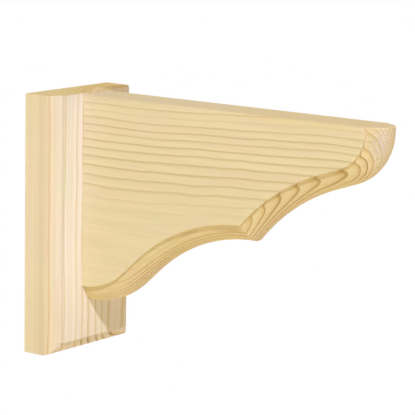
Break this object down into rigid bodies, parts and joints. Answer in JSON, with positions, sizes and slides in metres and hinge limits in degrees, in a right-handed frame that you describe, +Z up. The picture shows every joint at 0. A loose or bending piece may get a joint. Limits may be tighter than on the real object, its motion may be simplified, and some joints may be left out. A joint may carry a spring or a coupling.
{
  "type": "wooden shelf bracket",
  "caption": "Bare pine wall bracket: an upright back plate with rounded edges and a deep arm with a scalloped, rounded underside, for holding a shelf or mantel.",
  "frame": {"origin": "middle of the back plate's rear face, which lies flat on the wall", "axes": "+Y into the wall, the arm stands out along -Y, +Z up, X across the width"},
  "size_m": [0.0676, 0.2067, 0.14],
  "materials": {
    "plate_pine": "bare, sanded",
    "arm_pine": "bare, sanded"
  },
  "bodies": {
    "root": {"back_plate": "plate_pine", "arm": "arm_pine"}
  },
  "joints": []
}
